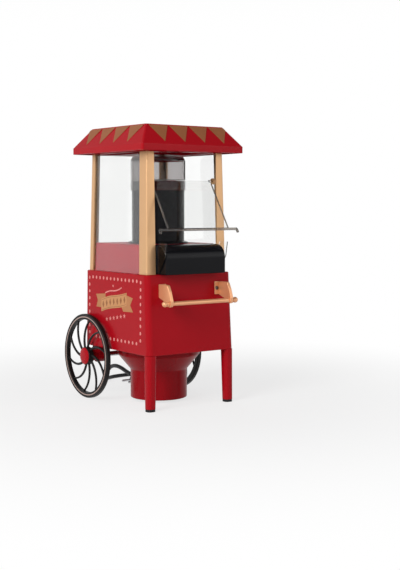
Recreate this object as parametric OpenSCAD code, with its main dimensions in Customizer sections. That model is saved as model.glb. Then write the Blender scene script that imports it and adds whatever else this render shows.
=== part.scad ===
// Tabletop hot-air popcorn maker, styled as a two-wheeled popcorn cart.
// Millimetres, +Z up, the front with the outlet and the handle faces -Y.

/* [Base box] */
// Width of the base box along its top edge
base_w = 154; // [148:1:160]
// Depth of the base box along its top edge
base_d = 174; // [166:1:184]
// Height of the top of the base box above the floor
base_top = 200; // [194:1:210]
// Height of the bottom of the base box above the floor
base_bottom = 82; // [80:1:86]
// How far the front panel leans out between its top and its bottom
front_lean = 7; // [4:0.5:8]
// How far each side and the back lean out between top and bottom
side_lean = 1.2; // [0.4:0.2:2.4]
// Radius of the base box's upright corners
corner_r = 8; // [5:0.5:9]
// Wall of the moulded red parts
wall = 2.4; // [2:0.1:3]

/* [Cabinet] */
// Height from the top of the base box to the underside of the roof
cabinet_h = 180; // [174:1:192]
// Width of the cabinet as a share of the base box's width
cabinet_share = 0.945; // [0.93:0.005:0.955]
// Size of the cabinet at the roof as a share of its size at the base
cabinet_taper = 0.95; // [0.94:0.005:0.97]
// Half the width of the clear opening between the front posts
front_gap = 56.5; // [55.5:0.5:57.5]
// Thickness of the clear window panes
pane_t = 1.6; // [1.2:0.1:2]

/* [Roof] */
// Width of the roof at its rim
roof_w = 183; // [176:1:188]
// Depth of the roof at its rim
roof_d = 199; // [190:1:205]
// Height of the roof's upright rim
rim_h = 9.5; // [8:0.5:11]
// Height of the roof's slope above the rim
slope_h = 30; // [28:1:34]
// Size of the flat top as a share of the rim
roof_top_share = 0.77; // [0.74:0.01:0.8]
// Radius of the kernel cup's mouth
cup_r = 30; // [26:1:32]

/* [Flap] */
// Length of the flap from its hinge to its lip
flap_len = 85; // [80:1:88]
// Angle between the resting flap and the vertical
flap_angle = 32.6; // [30:0.1:36]
// Radius of the flap's hinge pins
flap_pin_r = 2; // [1.8:0.1:2.2]

/* [Wheels] */
// Radius of the wheels
wheel_r = 66; // [62:1:68]
// Thickness of the rims
wheel_t = 7; // [6:0.5:8]
// Number of curved spokes in each wheel
spokes = 10; // [8:1:12]
// Radius of the axle
axle_r = 4; // [3.5:0.25:4.5]
// Running clearance on the radius of the wheels' bores
run_gap = 0.08; // [0.05:0.01:0.1]

/* [Handle] */
// Radius of the handle bar
bar_r = 3.25; // [3:0.25:3.5]
// Distance from the front panel to the middle of the bar
bar_out = 27.8; // [26:0.2:30]
// Height of the bar below the top of the base box
bar_drop = 40.5; // [38:0.5:43]

/* [Blower] */
// Outer radius of the motor housing's lower drum
drum_r = 44; // [42:0.5:45]
// Outer radius of the motor housing's skirt
skirt_r = 64; // [60:0.5:65]
// Outer radius of the chimney
chimney_r = 40; // [38:0.5:41]
// Outer radius of the fan impeller
fan_r = 36; // [32:0.5:37]
// Number of impeller blades
blades = 9; // [6:1:10]

/* [Power cord] */
// Radius of the power cord
cord_r = 3.25; // [3:0.25:3.5]

/* [Hidden] */
$fn = 64;

red = [0.73, 0.08, 0.16];
gold = [0.9, 0.74, 0.58];
clear = [0.9, 0.95, 0.97, 0.35];
smoke = [0.35, 0.36, 0.38, 0.6];
black = [0.05, 0.05, 0.06];
copper = [0.9, 0.62, 0.42];
metal = [0.78, 0.79, 0.8];
steel = [0.6, 0.61, 0.63];

gap = 0.3;                                  // between pieces that move past each other
seat = 0.02;                                // between pieces that are screwed together
slice_t = 0.01;
base_h = base_top - base_bottom;
cab_w = base_w * cabinet_share;             // cabinet outline at the base box's top
cab_d = base_d * cabinet_share - 3;
cab_top = base_top + cabinet_h;
post_t = 2.4;
post_flange = 20;                           // side flange of a front post
rear_flange = 9;
frame_h = 5.6;                              // height of the red frame under the roof
roof_z = cab_top;
roof_top = roof_z + rim_h + slope_h;
liner_z = cab_top + frame_h + gap;
deck_h = 43;
deck_z = base_top + deck_h;
flue_y = -4;                                // centre line of the blower, chamber and chimney
chute_w = 2 * front_gap - 5;
chute_front = -(base_d / 2 + 17);
chute_deep = 42;
deck_front = chute_front + chute_deep;
deck_back = cab_d / 2 - 5;
deck_half = cab_w / 2 - post_t - pane_t - 1.3;
nose_r = 20;
axle_y = base_d / 2 - 17.4;
wheel_in = base_w / 2 + 5.25;
wheel_out = wheel_in + wheel_t;
hub_r = 14;
rim_w = 8.8;
bar_y = -(base_d / 2 + bar_out);
bar_z = base_top - bar_drop;
bracket_x = base_w / 2 - 22.5;
bracket_t = 5;
flange_t = 2.2;
end_r = 4.4;
hinge_y = 15.95 - cab_d / 2;
guard_top = deck_z + 4;                     // the open flap's lip passes just above the guards
hinge_z = guard_top + flap_len + 5.7;
mouth_w = 66;
mouth_z = hinge_z + 3;
mouth_h = cab_top - hinge_z - 14.3;
flap_w = 2 * front_gap - 2.4;
lip_r = 2;
lip_reach = front_gap + 13.5;
boss_r = 4.6;
floor_t = wall;
floor_z = base_bottom + floor_t;            // top of the base floor
skirt_z = base_bottom - 10;
cone_z = base_bottom - 34;
grille_z = 4;
grille_t = 2.4;
chamber_z = 120;
chamber_r = chimney_r - 2;
shroud_r = chimney_r + 3;
shroud_t = 1.6;
wire_r = 0.9;
motor_r = 16;
motor_z = cone_z - 6;
motor_h = 34;
shaft_r = 2.5;
fan_z = grille_z + 10;
fan_h = 18;
switch_x = 38;
switch_z = base_top - 50;
rocker_half = 4.2;
switch_half = rocker_half + 2.4;
switch_rim = 2;
back_y = base_d / 2 + side_lean * (base_top - switch_z + switch_half + switch_rim) / base_h + seat;
rocker_y = back_y - 2.5;
rocker_pin_r = 1.2;
boot_z = 28;
boot_len = 38;
boot_y = flue_y + drum_r;
boot_end = boot_y + boot_len;
hinge_share = 1 - (1 - cabinet_taper) * (hinge_z - base_top) / cabinet_h;
boss_x = (cab_w / 2 - post_t - pane_t) * hinge_share - gap;
bracket_z = bar_z + 17;                     // middle of a bracket's mounting flange
panel_y = -base_d / 2 - front_lean * (base_top - bracket_z) / base_h;
screw_x = bracket_x - 6.5;
screw_r = 1.5;
floor_screw_x = base_w / 2 - 12;
floor_screw_y = base_d / 2 - 33;
rocker_tilt = 8;
leg_top = 16;
leg_low = 14;
foot_h = 4;
leg_x = base_w / 2 + side_lean;
leg_y = -base_d / 2 - front_lean;

// The overall depth runs from the handle to the wheels: half of the difference centres it.
front_reach = -bar_y + max(end_r, bar_r + 2.5);
rear_reach = axle_y + wheel_r;
shift_y = (front_reach - rear_reach) / 2;

// Cord: from the boot to the coil on the floor, and from the coil to the plug.
// The coil is two turns wide and two turns high.
coil_x = 113;
coil_y = boot_end + 88;
coil_mid = 35.5;
coil_in = coil_mid - 2 * cord_r;
coil_out = coil_mid + 2 * cord_r;
coil_h = 4 * cord_r;
outer_turn = coil_mid + cord_r;
plug_x = 76;
plug_z = 7;
CORD = [for (p = [
    [0, 0, 28], [0, 12, 30.5], [0, 28, 34.5], [0, 44, 36], [1, 60, 33], [4, 76, 25], [9, 92, 14],
    [17, 106, 6], [29, 117, 3.5], [45, 124.5, 3.3], [64, 127.5, 3.3], [84, 128, 3.3],
    [99, 127.3, 3.3], [113, 126.75, 3.3]
]) [p[0], p[1] + boot_end, p[2]]];
CORD_END = [for (p = [
    [113, 49.25, 9.7], [106, 49.25, 9.4], [98, 49.25, 8.6], [90, 49.25, 7.6], [82, 49.25, 7.1],
    [76, 49.25, 7]
]) [p[0], p[1] + boot_end, p[2]]];

module placed() {
    translate([0, shift_y, 0]) children();
}

module both_sides() {
    children();
    mirror([1, 0, 0]) children();
}

module centred_box(w, d, h) {
    translate([-w / 2, -d / 2, 0]) cube([w, d, h]);
}

// A cylinder along X from x0 to x1.
module bar_x(r, x0, x1) {
    translate([x0, 0, 0]) rotate([0, 90, 0]) cylinder(r = r, h = x1 - x0);
}

// A cylinder along Y from y0 to y1.
module bar_y(r, y0, y1) {
    translate([0, y0, 0]) rotate([-90, 0, 0]) cylinder(r = r, h = y1 - y0);
}

// A flat outline drawn in Y and Z, given a thickness along X from x0 to x1.
module plate_yz(x0, x1) {
    translate([x0, 0, 0]) rotate([90, 0, 90]) linear_extrude(x1 - x0) children();
}

module round_box(w, d, r) {
    offset(r = r, $fn = 24) square([w - 2 * r, d - 2 * r], center = true);
}

// ---- base -------------------------------------------------------------

function block_w(z) = base_w + 2 * side_lean * (base_top - z) / base_h;
function block_d(z) = base_d + (side_lean + front_lean) * (base_top - z) / base_h;
function block_y(z) = (side_lean - front_lean) / 2 * (base_top - z) / base_h;

// A thin slice of the base box at height z, drawn in by inset.
module base_slice(inset, z) {
    translate([0, block_y(z), z]) linear_extrude(slice_t)
        round_box(block_w(z) - 2 * inset, block_d(z) - 2 * inset, corner_r - inset / 2);
}

module base_block(inset, z0, z1) {
    hull() {
        base_slice(inset, z0);
        base_slice(inset, z1 - slice_t);
    }
}

module base_shell() {
    color(red) placed() difference() {
        base_block(0, base_bottom, base_top);
        base_block(wall, base_bottom - 1, base_top - wall);
        translate([0, 2, base_top - wall - 1]) centred_box(cab_w - 26, cab_d - 24, wall + 2);
        translate([switch_x - 8.5, base_d / 2 - 8, switch_z - switch_half])
            cube([17, 14, 2 * switch_half]);
        for (x = [-screw_x, screw_x])
            translate([x, 0, bracket_z]) bar_y(screw_r, panel_y - 2, panel_y + 6);
    }
}

module base_floor() {
    color(red) placed() difference() {
        base_block(wall + seat, base_bottom, floor_z);
        translate([0, flue_y, base_bottom - 1]) cylinder(r = drum_r - 4, h = floor_t + 2);
        for (x = [-floor_screw_x, floor_screw_x], y = [-floor_screw_y, floor_screw_y])
            translate([x, y, base_bottom - 1]) cylinder(r = screw_r, h = floor_t + 2);
    }
}

module motor_housing() {
    color(red) placed() translate([0, flue_y, 0]) difference() {
        rotate_extrude($fn = 96) polygon([
            [drum_r, grille_z], [drum_r, cone_z], [skirt_r, skirt_z], [skirt_r, base_bottom],
            [skirt_r - wall, base_bottom], [skirt_r - wall, skirt_z + 1],
            [drum_r - wall, cone_z + 1], [drum_r - wall, grille_z]
        ]);
        translate([0, 0, boot_z]) bar_y(5, drum_r - 8, drum_r + 2);
    }
}

module intake_grille() {
    slot_w = 3;
    color(black) placed() translate([0, flue_y, grille_z]) difference() {
        cylinder(r = drum_r - wall, h = grille_t);
        for (a = [0 : 15 : 345])
            rotate(a) translate([12, -slot_w / 2, -1]) cube([24, slot_w, grille_t + 2]);
    }
}

module inner_deck() {
    lean = 2;
    lean_back = 2;
    deep = deck_back - deck_front;
    color(red) placed() difference() {
        hull() {
            translate([-deck_half, deck_front, base_top]) cube([2 * deck_half, deep, 0.1]);
            translate([-deck_half + lean, deck_front, deck_z - 0.1])
                cube([2 * (deck_half - lean), deep - lean_back, 0.1]);
        }
        hull() {
            translate([wall - deck_half, deck_front + wall, base_top - 1])
                cube([2 * (deck_half - wall), deep - 2 * wall, 0.1]);
            translate([lean + wall - deck_half, deck_front + wall, deck_z - wall - 0.1])
                cube([2 * (deck_half - lean - wall), deep - lean_back - 2 * wall, 0.1]);
        }
        translate([0, flue_y, base_top]) cylinder(r = chamber_r, h = deck_h + 1);
    }
}

// ---- outlet -----------------------------------------------------------

module nose_outline(inset) {
    front = chute_front + inset;
    r = nose_r - inset;
    translate([chute_front + nose_r, deck_z - nose_r]) circle(r);
    translate([front, base_top + inset]) square([r + inset + 1, deck_h - nose_r - inset]);
    translate([chute_front + nose_r, base_top + inset])
        square([chute_deep - nose_r + 2 * inset, deck_h - 2 * inset]);
}

module outlet_chute() {
    t = 2.2;
    color(black) placed() difference() {
        plate_yz(-chute_w / 2, chute_w / 2) nose_outline(0);
        plate_yz(-chute_w / 2 + t, chute_w / 2 - t) nose_outline(t);
    }
}

// A clear wing beside the chute, from its flank up to just below the flap's lip.
module spout_guard(x0) {
    f = chute_front;
    color(clear) placed() plate_yz(x0, x0 + 1.5) polygon([
        [f - 4, guard_top], [f, base_top + 26], [f + 10, base_top + 10], [f + 18, base_top + 1],
        [f + 18, guard_top - 7], [f + 14, guard_top]
    ]);
}

module spout_guard_left() {
    spout_guard(-chute_w / 2 - 1.5);
}

module spout_guard_right() {
    spout_guard(chute_w / 2);
}

// ---- cabinet ----------------------------------------------------------

// Anything that follows the cabinet's taper, from its foot up to height h.
module tapered(h) {
    s = 1 - (1 - cabinet_taper) * h / cabinet_h;
    translate([0, 0, base_top]) linear_extrude(h, scale = s) children();
}

module corner(x, y, w, d) {
    translate([x, y]) square([w, d]);
}

module front_post() {
    difference() {
        union() {
            tapered(cabinet_h) {
                corner(cab_w / 2 - 20, -cab_d / 2, 20, post_t);
                corner(cab_w / 2 - post_t, -cab_d / 2, post_t, post_flange);
            }
            translate([front_gap + 1, 1 - cab_d / 2 * hinge_share, hinge_z - boss_r])
                cube([boss_x - front_gap - 1, cab_d / 2 * hinge_share + hinge_y - 1, 2 * boss_r]);
            translate([0, hinge_y, hinge_z]) bar_x(boss_r, front_gap + 1, boss_x);
        }
        translate([-1, -cab_d / 2 - 1, base_top - 1]) cube([front_gap + 1, 9, cabinet_h + 2]);
        translate([0, hinge_y, hinge_z]) bar_x(flap_pin_r + run_gap, front_gap - 2, boss_x - 0.6);
    }
}

module rear_post() {
    tapered(cabinet_h) {
        corner(cab_w / 2 - 14, cab_d / 2 - post_t, 14, post_t);
        corner(cab_w / 2 - post_t, cab_d / 2 - rear_flange, post_t, rear_flange);
    }
}

module post_front_left() {
    color(gold) placed() mirror([1, 0, 0]) front_post();
}

module post_front_right() {
    color(gold) placed() front_post();
}

module post_rear_left() {
    color(gold) placed() mirror([1, 0, 0]) rear_post();
}

module post_rear_right() {
    color(gold) placed() rear_post();
}

module top_frame() {
    w = cab_w * cabinet_taper;
    d = cab_d * cabinet_taper;
    color(red) placed() translate([0, 0, cab_top]) difference() {
        centred_box(w, d, frame_h);
        translate([0, 0, -1]) centred_box(w - 14, d - 14, frame_h + 2);
    }
}

module side_window() {
    x = cab_w / 2 - post_t - pane_t;
    tapered(cabinet_h) corner(x, -cab_d / 2 + post_t, pane_t, cab_d - 2 * post_t - pane_t);
}

module window_left() {
    color(clear) placed() mirror([1, 0, 0]) side_window();
}

module window_right() {
    color(clear) placed() side_window();
}

module window_rear() {
    half = cab_w / 2 - post_t;
    color(clear) placed() tapered(cabinet_h)
        corner(-half, cab_d / 2 - post_t - pane_t, 2 * half, pane_t);
}

// ---- blower, heater and chimney --------------------------------------

module popping_chamber() {
    t = 1.2;
    flange = 8;
    color(metal) placed() translate([0, flue_y, 0]) difference() {
        union() {
            rotate_extrude() polygon([
                [0, chamber_z], [chamber_r, chamber_z], [chamber_r, deck_z - wall - t],
                [chamber_r + flange, deck_z - wall - t], [chamber_r + flange, deck_z - wall],
                [chamber_r - t, deck_z - wall], [chamber_r - t, chamber_z + t], [0, chamber_z + t]
            ]);
            for (s = [-1, 1])
                translate([-9, s * (chamber_r + 0.5) - 1.5, chamber_z + 55]) cube([18, 3, 18]);
        }
        for (a = [0 : 20 : 340])
            rotate(a) translate([chamber_r - 3, -1, chamber_z + 4]) rotate([0, 0, 35])
                cube([6, 2, 14]);
    }
}

module chimney() {
    t = 1.6;
    color(black) placed() translate([0, flue_y, 0]) rotate_extrude() polygon([
        [chamber_r - 0.4, deck_z], [chamber_r + 8, deck_z], [chamber_r + 8, deck_z + 2],
        [chimney_r, deck_z + 4], [chimney_r, hinge_z], [chimney_r - t, hinge_z],
        [chimney_r - t, deck_z + 3]
    ]);
}

module hood() {
    t = 1.8;
    low = hinge_z - 14;
    high = cab_top - 2;
    r = chimney_r + t;
    fill_r = chimney_r - 16;
    color(smoke) placed() translate([0, flue_y, 0]) difference() {
        rotate_extrude() polygon([
            [chimney_r, low], [r, low], [r, high - 8], [r - 3, high - 3], [r - 8, high],
            [fill_r, high], [fill_r, high - t], [r - 9, high - t], [chimney_r - 4, high - 5],
            [chimney_r, high - 9], [chimney_r, hinge_z + 8]
        ]);
        translate([-mouth_w / 2, -chimney_r - 8, mouth_z]) cube([mouth_w, 30, mouth_h]);
    }
}

module fan_shroud() {
    t = shroud_t;
    high = chamber_z + 24;
    color(metal) placed() translate([0, flue_y, 0]) rotate_extrude() polygon([
        [shroud_r - t, floor_z], [shroud_r + 6, floor_z], [shroud_r + 6, floor_z + t],
        [shroud_r, floor_z + t], [shroud_r, high], [chamber_r, high],
        [chamber_r, high - t], [shroud_r - t, high - t]
    ]);
}

// The turns of resistance wire, stepped like an upside-down cone.
module heater_turns(wire) {
    translate([0, flue_y, floor_z + 9])
        for (i = [0 : 4])
            translate([0, 0, 4 * i]) rotate_extrude() translate([31 - 3 * i, 0])
                circle(wire, $fn = 16);
}

module heater_former() {
    t = 1.4;
    reach = shroud_r - shroud_t;
    color([0.85, 0.83, 0.76]) placed() difference() {
        translate([0, flue_y, floor_z + 4]) {
            translate([-reach, -t / 2, 0]) cube([2 * reach, t, 26]);
            translate([-t / 2, -reach, 0]) cube([t, 2 * reach, 26]);
        }
        heater_turns(wire_r);
    }
}

module heater_coil() {
    color(steel) placed() heater_turns(wire_r);
}

module motor_can() {
    color(steel) placed() translate([0, flue_y, 0]) difference() {
        union() {
            translate([0, 0, motor_z]) cylinder(r = motor_r, h = motor_h);
            translate([0, 0, motor_z - 3]) cylinder(r = 6, h = 4);
        }
        translate([0, 0, motor_z - 4]) cylinder(r = shaft_r + run_gap, h = motor_h - 4);
    }
}

module motor_mount() {
    arm = 7;
    seat_z = motor_z + motor_h;
    color(black) placed() translate([0, flue_y, 0]) {
        difference() {
            translate([0, 0, seat_z - 4]) cylinder(r = motor_r + 3, h = 7);
            translate([0, 0, seat_z - 5]) cylinder(r = motor_r, h = 5);
        }
        for (a = [0 : 90 : 270])
            rotate(a + 45) translate([motor_r + 1, -arm / 2, seat_z])
                cube([drum_r + 4 - motor_r, arm, base_bottom - seat_z]);
    }
}

module motor_shaft() {
    color(metal) placed() translate([0, flue_y, fan_z])
        cylinder(r = shaft_r, h = motor_z + 24 - fan_z);
}

module fan_impeller() {
    hub = 6;
    color(metal) placed() translate([0, flue_y, fan_z]) difference() {
        union() {
            translate([0, 0, fan_h]) cylinder(r = fan_r, h = 1.4);
            cylinder(r = hub, h = fan_h + 2);
            for (a = [0 : 360 / blades : 359])
                rotate(a + 11) translate([hub - 1.5, -0.6, 0])
                    cube([fan_r - hub - 1.5, 1.2, fan_h + 0.5]);
        }
        translate([0, 0, -1]) cylinder(r = shaft_r, h = fan_h + 4);
    }
}

module thermostat() {
    color(black) placed() translate([0, flue_y, chamber_z + 64])
        bar_y(8, chamber_r + 2, chamber_r + 9);
}

module thermal_fuse() {
    color([0.93, 0.92, 0.88]) placed() translate([0, flue_y, chamber_z + 64])
        translate([-8, -chamber_r - 6, -3]) cube([16, 4, 6]);
}

module rectifier_board() {
    color([0.12, 0.35, 0.2]) placed() translate([18 - base_w / 2, base_d / 2 - 45, floor_z]) {
        cube([1.6, 34, 26]);
        translate([1.6, 6, 6]) cube([5, 8, 8]);
        translate([1.6, 20, 8]) cube([4, 9, 6]);
    }
}

// ---- legs, wheels and handle -----------------------------------------

module leg() {
    ease = 5.4;
    translate([leg_x, leg_y, foot_h])
        linear_extrude(base_bottom - foot_h, scale = leg_top / leg_low)
            translate([-leg_low, 0]) offset(r = ease, $fn = 32) offset(delta = -ease) square(leg_low);
}

module foot() {
    ease = 5.1;
    w = leg_low - 0.6;
    translate([leg_x - w - 0.3, leg_y + 0.3, 0]) linear_extrude(foot_h)
        offset(r = ease, $fn = 32) offset(delta = -ease) square(w);
}

module leg_left() {
    color(red) placed() mirror([1, 0, 0]) leg();
}

module leg_right() {
    color(red) placed() leg();
}

module foot_left() {
    color(black) placed() mirror([1, 0, 0]) foot();
}

module foot_right() {
    color(black) placed() foot();
}

module axle_bracket() {
    ear = 11;
    deep = 14;
    x0 = base_w / 2 - 8 - deep;
    difference() {
        union() {
            translate([x0, axle_y - ear, wheel_r]) cube([deep, 2 * ear, base_bottom - wheel_r]);
            translate([0, axle_y, wheel_r]) bar_x(ear, x0, x0 + deep);
            translate([0, axle_y, wheel_r]) bar_x(8.5, x0 + deep - 1, wheel_in - 1.3);
        }
        translate([0, axle_y, wheel_r]) bar_x(axle_r, x0 - 1, wheel_in);
    }
}

module axle_bracket_left() {
    color(red) placed() mirror([1, 0, 0]) axle_bracket();
}

module axle_bracket_right() {
    color(red) placed() axle_bracket();
}

module axle() {
    color(metal) placed() translate([0, axle_y, wheel_r]) bar_x(axle_r, -wheel_out, wheel_out);
}

// One curved spoke: the part of a ring through the hub's centre that reaches the rim.
module spoke() {
    bend_r = 40;
    w = 2.8;
    intersection() {
        translate([bend_r, 0]) difference() {
            circle(bend_r + w / 2);
            circle(bend_r - w / 2);
        }
        difference() {
            circle(wheel_r - rim_w + 1);
            circle(hub_r - 2);
        }
        translate([-wheel_r, 0]) square([2 * wheel_r, wheel_r]);
    }
}

// The left wheel, with its outer face towards -X. Its bore runs on the axle.
module wheel() {
    translate([-wheel_in, axle_y, wheel_r]) rotate([90, 0, -90]) difference() {
        union() {
            linear_extrude(wheel_t) difference() {
                circle(wheel_r, $fn = 96);
                circle(wheel_r - rim_w, $fn = 96);
            }
            translate([0, 0, 1.5]) linear_extrude(wheel_t - 3)
                for (i = [0 : spokes - 1])
                    rotate(i * 360 / spokes) spoke();
            translate([0, 0, -1]) cylinder(r = hub_r, h = wheel_t + 2);
        }
        translate([0, 0, -2]) cylinder(r = axle_r + run_gap, h = wheel_t + 4);
    }
}

module hub_cap() {
    translate([-wheel_out - 1, axle_y, wheel_r]) rotate([0, -90, 0])
        rotate_extrude() polygon([[0, 0], [13, 0], [12.6, 1.2], [10, 2.3], [5.5, 2.9], [0, 3]]);
}

module wheel_left() {
    color(black) placed() wheel();
}

module wheel_right() {
    color(black) placed() mirror([1, 0, 0]) wheel();
}

module hub_cap_left() {
    color(red) placed() hub_cap();
}

module hub_cap_right() {
    color(red) placed() mirror([1, 0, 0]) hub_cap();
}

module bracket() {
    foot_low = bar_z + 7.5;
    foot_high = bar_z + 27;
    deep = 22;
    eye_r = bar_r + 2.5;
    color(copper) placed() difference() {
        union() {
            plate_yz(bracket_x - bracket_t / 2, bracket_x + bracket_t / 2) difference() {
                union() {
                    polygon([
                        [panel_y + 1, foot_low], [panel_y + 1, foot_high],
                        [panel_y - deep, foot_high], [panel_y - deep - 5, bracket_z],
                        [bar_y - 5.2, bar_z + 3], [bar_y + 1, bar_z - 5.2],
                        [panel_y - deep, bar_z]
                    ]);
                    translate([bar_y, bar_z]) circle(eye_r);
                }
                translate([bar_y, bar_z]) circle(bar_r);
            }
            translate([screw_x - 3.5, panel_y - flange_t, foot_low])
                cube([bracket_x - screw_x + 3.5, flange_t + 1, foot_high - foot_low]);
        }
        translate([screw_x, 0, bracket_z]) bar_y(screw_r, panel_y - 3, panel_y + 2);
        base_block(-seat, base_bottom, base_top);
    }
}

module bracket_left() {
    mirror([1, 0, 0]) bracket();
}

module bracket_right() {
    bracket();
}

module handle_bar() {
    color(copper) placed() translate([0, bar_y, bar_z]) bar_x(bar_r, -bracket_x - 6, bracket_x + 6);
}

module handle_end() {
    x = bracket_x + 9.5;
    color(copper) placed() translate([0, bar_y, bar_z]) difference() {
        union() {
            translate([x, 0, 0]) sphere(end_r);
            bar_x(bar_r + 0.7, bracket_x + 4.5, bracket_x + 6.5);
        }
        bar_x(bar_r, bracket_x + 4, bracket_x + 6);
    }
}

module handle_end_left() {
    mirror([1, 0, 0]) handle_end();
}

module handle_end_right() {
    handle_end();
}

module bracket_screws() {
    color(metal) placed() both_sides() translate([screw_x, 0, bracket_z]) {
        bar_y(screw_r, panel_y - flange_t, panel_y + 5);
        bar_y(2 * screw_r, panel_y - flange_t - 1.4, panel_y - flange_t);
    }
}

module floor_screws() {
    color(metal) placed()
        for (x = [-floor_screw_x, floor_screw_x], y = [-floor_screw_y, floor_screw_y])
            translate([x, y, base_bottom]) {
                translate([0, 0, -1.6]) cylinder(r = 2 * screw_r, h = 1.6);
                cylinder(r = screw_r, h = floor_t + 3);
            }
}

// ---- switch and cord exit --------------------------------------------

module switch_frame() {
    color(black) placed() translate([switch_x, 0, switch_z]) difference() {
        union() {
            translate([-8.5, back_y - 14, -switch_half]) cube([17, 14, 2 * switch_half]);
            translate([-8.5 - switch_rim, back_y, -switch_half - switch_rim])
                cube([17 + 2 * switch_rim, 1.6, 2 * (switch_half + switch_rim)]);
        }
        translate([-7, back_y - 9, -rocker_half - 1]) cube([14, 14, 2 * rocker_half + 2]);
        translate([0, rocker_y, 0]) bar_x(rocker_pin_r + run_gap, -8, 8);
    }
}

// The rocker lies in its off position, pressed in at its lower end.
module rocker() {
    w = 6.6;
    color(black) placed() translate([switch_x, rocker_y, switch_z]) rotate([-rocker_tilt, 0, 0]) {
        plate_yz(-w, w) polygon([
            [-3, -3], [1, -rocker_half], [3.6, -rocker_half], [2.5, 0], [3.6, rocker_half],
            [1, rocker_half], [-3, 3]
        ]);
        bar_x(rocker_pin_r, -w - 1.1, w + 1.1);
    }
}

module strain_relief() {
    color(black) placed() translate([0, boot_y, boot_z]) rotate([-90, 0, 0])
        rotate_extrude() polygon([
            [0, -6], [5, -6], [5, -0.2], [7, -0.2], [7, 2.4], [5.4, 4],
            [cord_r + 0.8, boot_len - 2], [cord_r, boot_len], [0, boot_len]
        ]);
}

// ---- roof -------------------------------------------------------------

module roof_block(inset, z0) {
    w = roof_w - 2 * inset;
    d = roof_d - 2 * inset;
    translate([0, 0, z0]) linear_extrude(roof_z + rim_h - z0) round_box(w, d, 3);
    translate([0, 0, roof_z + rim_h - 0.01])
        linear_extrude(slope_h - inset + 0.01, scale = roof_top_share) round_box(w, d, 3);
}

module canopy() {
    pocket_r = cup_r - 0.5;
    pocket_h = 26;
    color(red) placed() difference() {
        union() {
            difference() {
                roof_block(0, roof_z);
                roof_block(wall, roof_z - 1);
            }
            translate([0, 0, roof_top - pocket_h - wall])
                cylinder(r = pocket_r + 1.6, h = pocket_h + wall - 0.5);
        }
        translate([0, 0, roof_top - pocket_h]) cylinder(r = pocket_r, h = pocket_h + 1);
        translate([0, 0, roof_top - 1.6]) cylinder(r = cup_r + 2.5, h = 2);
    }
}

module roof_liner() {
    color(red) placed() translate([0, 0, liner_z])
        linear_extrude(2) round_box(roof_w - 2 * wall, roof_d - 2 * wall, 2);
}

module kernel_cup() {
    r = cup_r - 0.8;
    t = 1.4;
    h = 24;
    color(clear) placed() translate([0, 0, roof_top - h]) difference() {
        union() {
            cylinder(r = r, h = h);
            translate([0, 0, h - 1.3]) cylinder(r = cup_r + 2.2, h = 1.3);
        }
        translate([0, 0, t]) cylinder(r = r - t, h = h);
    }
}

// ---- flap -------------------------------------------------------------

module on_flap() {
    translate([0, hinge_y, hinge_z]) rotate([-flap_angle, 0, 0]) children();
}

module flap_pane() {
    color(clear) placed() on_flap() {
        translate([-flap_w / 2, -pane_t / 2, -flap_len + lip_r])
            cube([flap_w, pane_t, flap_len - lip_r]);
        both_sides() bar_x(flap_pin_r, flap_w / 2 - 3, boss_x - 1);
    }
}

module flap_lip() {
    color(clear) placed() on_flap() translate([0, 0, -flap_len]) {
        bar_x(lip_r, -lip_reach, lip_reach);
        both_sides() translate([lip_reach - 1.5, -1.2, -6]) cube([3, 2.4, 6]);
    }
}

// ---- power cord -------------------------------------------------------

// One point on a smooth curve through four route points (Catmull-Rom).
function spline(a, b, c, d, t) =
    0.5 * (2 * b + (c - a) * t + (2 * a - 5 * b + 4 * c - d) * t * t
        + (3 * b - a - 3 * c + d) * t * t * t);
function end_safe(p, i) = p[max(0, min(len(p) - 1, i))];
function smooth_route(p, n) = [
    for (i = [0 : len(p) - 2], k = [0 : n - 1])
        spline(end_safe(p, i - 1), p[i], p[i + 1], end_safe(p, i + 2), k / n),
    p[len(p) - 1]
];
function unit(v) = v / norm(v);
function heading(p, i) = unit(end_safe(p, i + 1) - end_safe(p, i - 1));

module swept_tube(p, r, sides) {
    rings = [
        for (i = [0 : len(p) - 1])
            let (f = heading(p, i), s = unit(cross(f, [0, 0, 1])), u = cross(s, f))
                [for (k = [0 : sides - 1])
                    p[i] + r * (cos(360 * k / sides) * s + sin(360 * k / sides) * u)]
    ];
    points = [for (ring = rings, q = ring) q];
    last = (len(p) - 1) * sides;
    polyhedron(points, concat(
        [[for (k = [0 : sides - 1]) k]],
        [for (i = [0 : len(p) - 2], k = [0 : sides - 1])
            let (a = i * sides + k, b = i * sides + (k + 1) % sides)
                [a, a + sides, b + sides, b]],
        [[for (k = [sides - 1 : -1 : 0]) last + k]]
    ), convexity = 10);
}

module cord() {
    color(black) placed() swept_tube(smooth_route(CORD, 3), cord_r, 10);
}

module cord_end() {
    color(black) placed() swept_tube(smooth_route(CORD_END, 2), cord_r, 10);
}

module cord_coil() {
    color(black) placed() translate([coil_x, coil_y, 0]) rotate_extrude()
        translate([coil_in, 0]) square([coil_out - coil_in, coil_h]);
}

module cord_tie() {
    t = 1.1;
    color(black) placed() translate([coil_x + coil_in, coil_y, 0]) difference() {
        translate([-t, -3, 0]) cube([coil_out - coil_in + 2 * t, 6, coil_h + t]);
        translate([0, -4, -1]) cube([coil_out - coil_in, 8, coil_h + 1]);
    }
}

// A flat two-pin plug, lying on the floor with its pins towards -X.
module plug() {
    body_l = 36;
    color(black) placed() translate([plug_x, coil_y - outer_turn, plug_z]) {
        hull() {
            translate([-8, 0, 0]) bar_x(5.5, 0, 8);
            for (y = [-1, 1], x = [-body_l, -body_l + 14])
                translate([0, 10.5 * y, 0]) bar_x(6.5, x, x + 2, $fn = 32);
        }
        for (y = [-1, 1])
            translate([0, 9.5 * y, 0]) bar_x(2, -body_l - 19, -body_l);
    }
}

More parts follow.
